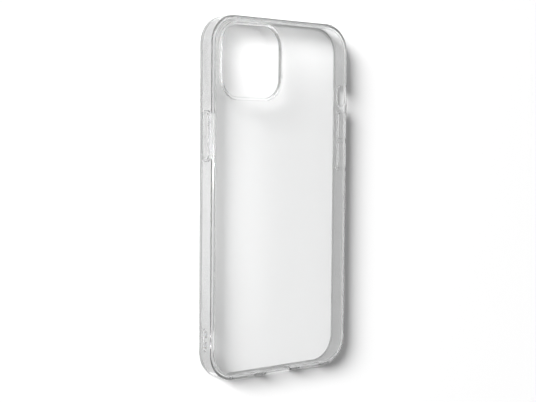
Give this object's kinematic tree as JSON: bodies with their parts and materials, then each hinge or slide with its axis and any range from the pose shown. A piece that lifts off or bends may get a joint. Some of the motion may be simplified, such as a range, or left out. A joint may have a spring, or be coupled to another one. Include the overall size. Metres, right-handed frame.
{
  "type": "phone case",
  "caption": "Thin clear phone case: hard back panel in a soft bumper frame, raised camera-window guard, press-through button pads, and slots for the port, speakers, switch and cord.",
  "frame": {"origin": "middle of the open rim's plane: the case lies on its rim with its back on top", "axes": "+Z out of the back of the case, +Y along its length towards the top edge, next to the camera window, and +X towards the wall with the volume pads"},
  "size_m": [0.0812, 0.1632, 0.0107],
  "materials": {
    "hard_clear": "clear polished hard plastic",
    "soft_clear": "clear glossy soft plastic"
  },
  "bodies": {
    "case_shell": {"bumper_frame": "soft_clear", "back_panel": "hard_clear", "camera_guard": "soft_clear", "power_button_skin": "soft_clear", "volume_button_skin": "soft_clear"},
    "power_pad": {"power_button": "soft_clear"},
    "volume_up_pad": {"volume_up_button": "soft_clear"},
    "volume_down_pad": {"volume_down_button": "soft_clear"}
  },
  "joints": [
    {"name": "power_press", "type": "slide", "parent": "case_shell", "child": "power_pad", "axis": [1, 0, 0], "range_m": [0, 0.00045], "stiffness_N_per_m": 3000},
    {"name": "volume_up_press", "type": "slide", "parent": "case_shell", "child": "volume_up_pad", "axis": [-1, 0, 0], "range_m": [0, 0.00045], "stiffness_N_per_m": 3000},
    {"name": "volume_down_press", "type": "slide", "parent": "case_shell", "child": "volume_down_pad", "axis": [-1, 0, 0], "range_m": [0, 0.00045], "stiffness_N_per_m": 3000}
  ]
}
